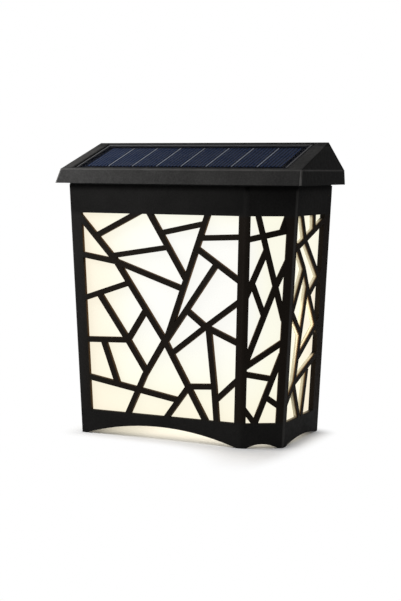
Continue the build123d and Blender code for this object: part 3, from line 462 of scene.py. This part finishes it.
def zinc_steel():
    """Plated screw: turned rings and small tone changes."""
    g = Finish("zinc_steel")
    rings = g.noise(1500.0)
    cloud = g.noise(300.0, 3.0)
    return g.set(
        Base_Color=g.blend(cloud, rgb(0.42, 0.43, 0.45), rgb(0.62, 0.63, 0.65)),
        Metallic=1.0,
        Roughness=g.even(rings, 0.24, 0.42),
        Normal=g.bump(rings, 0.25, 0.03 * MM),
    )


def circuit(name, ground, trace):
    """Laminate board with printed traces under its lacquer."""
    g = Finish(name)
    wander = g.times(g.noise(90.0, 0.0), 12 * MM)
    lane = g.math("PINGPONG", g.plus(g.axes()["X"], wander), 0.9 * MM)
    bare = g.spread(lane, 0.25 * MM, 0.35 * MM)
    return g.set(
        Base_Color=g.blend(bare, trace, ground),
        Roughness=g.even(g.noise(500.0), 0.35, 0.5),
        Normal=g.bump(bare, 0.2, 0.03 * MM),
    )


def sleeve():
    """Shrink sleeve of the battery, with slight wrinkles."""
    g = Finish("battery_sleeve")
    wrinkle = g.noise(1.0, 3.0, place=g.stretch((60.0, 420.0, 420.0)))
    return g.set(
        Base_Color=g.blend(wrinkle, rgb(0.06, 0.22, 0.13), rgb(0.10, 0.33, 0.20)),
        Roughness=g.even(wrinkle, 0.25, 0.4),
        Normal=g.bump(wrinkle, 0.2, 0.1 * MM),
    )


# Every node's finish

BLACK = rgb(0.0143, 0.0138, 0.0133)
NICKEL = rgb(0.66, 0.63, 0.56)

SHELL = moulded("black_shell", BLACK, 1500.0, 0.09 * MM, 0.72, 0.05, marks=lattice_marks)
# Roof and back are lighter copies of the body's black as painted light: the roof catches more
# light, the back sits in dim light
ROOF = moulded("black_roof", shade(BLACK, 1.5), 1300.0, 0.11 * MM, 0.60, 0.14, 0.5, roof_marks)
BACK = moulded("black_back", shade(BLACK, 1.6), 2200.0, 0.05 * MM, 0.62, 0.2)
RUBBER = moulded("rubber", rgb(0.012, 0.012, 0.012), 1900.0, 0.06 * MM, 0.78, 0.25)
FOAM = moulded("foam", rgb(0.02, 0.02, 0.02), 1100.0, 0.3 * MM, 0.9, 0.15)
WHITE = moulded("white_plastic", rgb(0.78, 0.78, 0.76), 1600.0, 0.04 * MM, 0.5, 0.4, 0.05)
BUTTON = moulded("button_plastic", rgb(0.035, 0.035, 0.037), 2600.0, 0.04 * MM, 0.5, 0.35)
STEEL = zinc_steel()

FINISHES = {
    "roof_cap": ROOF,
    "lantern_shell": SHELL,
    "diffuser_liner": milky_diffuser(),
    "solar_cells": solar_cell(),
    "panel_cover": clear_resin(),
    "cell_ribbons": ribbon(),
    "panel_board": plain("panel_backing", rgb(0.004, 0.005, 0.009), 0.6, gloss=0.02),
    "panel_seal": FOAM,
    "lid_seal": FOAM,
    "roof_gasket": RUBBER,
    "button_seal": RUBBER,
    "back_plate": BACK,
    "battery_lid": BACK,
    "back_reflector": WHITE,
    "lamp_tray": WHITE,
    "power_button": BUTTON,
    "back_screws": STEEL,
    "roof_screws": STEEL,
    "lid_screws": STEEL,
    "tray_screws": STEEL,
    "board_screws": STEEL,
    "battery": sleeve(),
    "contact_positive": plain("nickel_contact", NICKEL, 0.3, metal=1.0),
    "contact_negative": plain("nickel_leaf", NICKEL, 0.32, metal=1.0),
    "led_board": circuit("white_board", rgb(0.80, 0.81, 0.80), rgb(0.68, 0.69, 0.68)),
    "control_board": circuit("green_board", rgb(0.02, 0.14, 0.06), rgb(0.05, 0.24, 0.11)),
    "leds": plain("led_phosphor", rgb(0.90, 0.76, 0.30), 0.3),
    "board_components": plain("component_case", rgb(0.03, 0.03, 0.033), 0.5),
    "power_switch": plain("switch_case", rgb(0.05, 0.05, 0.055), 0.5),
    "panel_leads": plain("wire_red", rgb(0.30, 0.02, 0.02), 0.4),
    "led_leads": plain("wire_white", rgb(0.60, 0.60, 0.58), 0.4),
    "battery_leads": plain("wire_black", rgb(0.02, 0.02, 0.02), 0.4),
}

for name, material in FINISHES.items():
    slots = nodes[name].data.materials
    slots.clear()
    slots.append(material)


# Small changes of shape: edge radii, and a gap between two layers that touch

WELD_DISTANCE = 0.002 * MM
FLAT_ANGLE = math.radians(0.5)
EDGE_ANGLE = math.radians(40)
RADIUS_SEGMENTS = 2


def soften(name, radius):
    """Small edge radius on a moulding, as its tool leaves it."""
    piece = nodes[name]
    weld = piece.modifiers.new("weld", "WELD")
    weld.merge_threshold = WELD_DISTANCE
    merge = piece.modifiers.new("flat_faces", "DECIMATE")
    merge.decimate_type = "DISSOLVE"
    merge.angle_limit = FLAT_ANGLE
    bevel = piece.modifiers.new("edge_radius", "BEVEL")
    bevel.width = radius
    bevel.segments = RADIUS_SEGMENTS
    bevel.limit_method = "ANGLE"
    bevel.angle_limit = EDGE_ANGLE
    bevel.use_clamp_overlap = True
    bevel.harden_normals = True


def part_layers(name, gap):
    """Hair's breadth round a clear layer, so that rays tell it from the layer it touches."""
    shrink = nodes[name].modifiers.new("hair_gap", "DISPLACE")
    shrink.strength = -gap
    shrink.mid_level = 0.0


soften("lantern_shell", 0.25 * MM)
soften("back_plate", 0.25 * MM)
soften("battery_lid", 0.3 * MM)
part_layers("panel_cover", 0.05 * MM)


# Floor and backdrop

FLOOR_SIDES = 96
FLOOR_RADIUS = 0.42
FLOOR_Z = -0.1 * MM
FLOOR_BOUNCE = rgb(0.50, 0.50, 0.50)
FOOT_X = 58 * MM
FOOT_Y = 28 * MM
SHADOW_START = 0.5 * MM
SHADOW_END = 26 * MM


def floor_finish():
    """Pale floor: it keeps the shadow near the object and turns white further away."""
    g = Finish("floor")
    x, y, _ = g.axes()

    def past(value, edge):
        return g.most(g.minus(value, edge), 0.0)

    narrow, wide = 1.5, 0.45
    beside = g.times(past(g.math("ABSOLUTE", x), FOOT_X), narrow)
    behind = g.times(past(y, FOOT_Y), narrow)
    before = past(g.times(y, -1.0), FOOT_Y)
    before = g.times(before, g.spread(x, -10 * MM, 50 * MM, narrow, wide, True))
    along = g.plus(before, behind)
    away = g.math("SQRT", g.plus(g.times(beside, beside), g.times(along, along)))
    fade = g.spread(away, SHADOW_START, SHADOW_END, smooth=True)

    # Camera and mirror rays see it pale, and diffuse rays see it grey, so that little light bounces
    seen = g.rays("Camera", "Glossy", "Transmission")
    grain = g.even(g.noise(300.0))
    pale = g.blend(grain, rgb(0.97, 0.97, 0.97), rgb(0.99, 0.99, 0.99))
    g.set(
        Base_Color=g.blend(seen, FLOOR_BOUNCE, pale),
        Roughness=0.9,
        Specular_IOR_Level=0.0,
    )
    white = g.put(g.node("ShaderNodeEmission"), {"Color": rgb(1.0, 1.0, 1.0)})
    surface = {0: g.times(fade, seen), 1: g.shader.outputs[0], 2: white.outputs[0]}
    mix = g.put(g.node("ShaderNodeMixShader"), surface)
    g.link(mix.outputs[0], g.tree.nodes["Material Output"].inputs["Surface"])
    return g.material


def floor():
    turns = [math.tau * i / FLOOR_SIDES for i in range(FLOOR_SIDES)]
    rim = [(FLOOR_RADIUS * math.cos(a), FLOOR_RADIUS * math.sin(a), FLOOR_Z) for a in turns]
    mesh = bpy.data.meshes.new("floor")
    mesh.from_pydata(rim, [], [tuple(range(FLOOR_SIDES))])
    mesh.materials.append(floor_finish())
    piece = bpy.data.objects.new("floor", mesh)
    bpy.context.scene.collection.objects.link(piece)


def world():
    """Weak soft light, more of it from behind, before a white background."""
    made = bpy.data.worlds.new("studio")
    made.use_nodes = True
    made.node_tree.nodes.clear()
    bpy.context.scene.world = made
    g = Nodes(made.node_tree, "Generated")
    x, y, z = g.axes()
    from_left, from_right, from_behind = 0.38, 0.42, 2.2
    ambient = g.times(
        g.spread(x, -1.0, 1.0, from_left, from_right, True),
        g.spread(y, 0.1, 1.0, 1.0, from_behind, True),
    )
    mirrored = g.times(
        g.spread(x, -0.6, 0.25, 1.0, 0.12, True),
        g.spread(z, 0.3, 0.65, 1.0, 0.2, True),
    )
    light = g.choose(g.rays("Glossy"), ambient, mirrored)
    strength = g.choose(g.rays("Camera", "Transmission"), light, 1.0)
    sky = g.node("ShaderNodeBackground")
    g.put(sky, {"Color": rgb(1.0, 1.0, 1.0), "Strength": strength})
    g.link(sky.outputs[0], g.node("ShaderNodeOutputWorld").inputs["Surface"])


# Lamps

NEUTRAL = (1.0, 1.0, 1.0)
AMBER = (1.0, 0.66, 0.30)
CREAM = (1.0, 0.87, 0.66)
PINKISH = (1.0, 0.90, 0.86)

KEY_PLACE = (-0.30, -0.24, 0.40)
KEY_SIZE = 0.26
KEY_POWER = 0.74
KICK_PLACE = (-0.19, -0.10, 0.23)
KICK_SIZE = 0.10
KICK_POWER = 0.28
GLOW_HEIGHT = 108 * MM
GLOW_FLOOR_SIZE = (72 * MM, 44 * MM)
GLOW_FLOOR_POWER = 0.0025


def area(name, place, aim, width, height, power, colour):
    """Rectangular lamp that the camera doesn't see."""
    lamp = bpy.data.lights.new(name, "AREA")
    lamp.shape = "RECTANGLE"
    lamp.size = width
    lamp.size_y = height
    lamp.energy = power
    lamp.color = colour
    made = bpy.data.objects.new(name, lamp)
    made.location = place
    ahead = Vector(aim) - Vector(place)
    made.rotation_euler = ahead.to_track_quat("-Z", "Y").to_euler()
    made.visible_camera = False
    bpy.context.scene.collection.objects.link(made)


def studio_light():
    """Key light from the upper left, and a small near one that falls off towards the right."""
    body = (0.0, 0.0, 0.09)
    left_end = (-0.04, -0.02, 0.13)
    area("key_left", KEY_PLACE, body, KEY_SIZE, KEY_SIZE, KEY_POWER, NEUTRAL)
    area("kick_left", KICK_PLACE, left_end, KICK_SIZE, KICK_SIZE, KICK_POWER, NEUTRAL)


def lamp_glow():
    """Light that leaves the liner, from just outside its faces and under it."""
    low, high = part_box("diffuser_liner")
    middle = (low[2] + high[2]) / 2
    front = (-9.5 * MM, low[1] - 0.2 * MM, middle)
    facet = (51.0 * MM, -22.6 * MM, middle)
    right = (61.2 * MM, 4.0 * MM, middle)
    left = (-61.2 * MM, -2.0 * MM, middle)
    faces = (
        ("glow_front", front, (0.0, -1.0, 0.0), 98 * MM, 0.022, AMBER),
        ("glow_facet", facet, (0.513, -0.859, 0.0), 20 * MM, 0.005, AMBER),
        ("glow_right", right, (1.0, 0.0, 0.0), 38 * MM, 0.016, CREAM),
        ("glow_left", left, (-1.0, 0.0, 0.0), 52 * MM, 0.020, CREAM),
    )
    for name, place, out, wide, power, colour in faces:
        area(name, place, Vector(place) + Vector(out), wide, GLOW_HEIGHT, power, colour)
    under = (8 * MM, -5 * MM, low[2] - 0.3 * MM)
    down = (under[0], under[1], -1.0)
    area("glow_floor", under, down, *GLOW_FLOOR_SIZE, GLOW_FLOOR_POWER, PINKISH)


# Camera

def camera():
    data = bpy.data.cameras.new("camera")
    data.lens = CAMERA_LENS
    data.sensor_width = SENSOR_WIDTH
    data.clip_start = CLIP_START
    made = bpy.data.objects.new("camera", data)
    bpy.context.scene.collection.objects.link(made)
    yaw, pitch, roll = map(math.radians, (CAMERA_YAW, CAMERA_PITCH, CAMERA_ROLL))
    level = math.cos(pitch)
    ahead = Vector((-math.sin(yaw) * level, math.cos(yaw) * level, -math.sin(pitch)))
    right = Vector((math.cos(yaw), math.sin(yaw), 0.0))
    up = right.cross(ahead)
    turned_right = math.cos(roll) * right + math.sin(roll) * up
    turned_up = math.cos(roll) * up - math.sin(roll) * right
    turn = Matrix((turned_right, turned_up, -ahead)).transposed().to_4x4()
    made.matrix_world = Matrix.Translation(CAMERA_PLACE) @ turn
    bpy.context.scene.camera = made


floor()
world()
studio_light()
lamp_glow()
camera()
bpy.context.scene.view_settings.view_transform = "Standard"
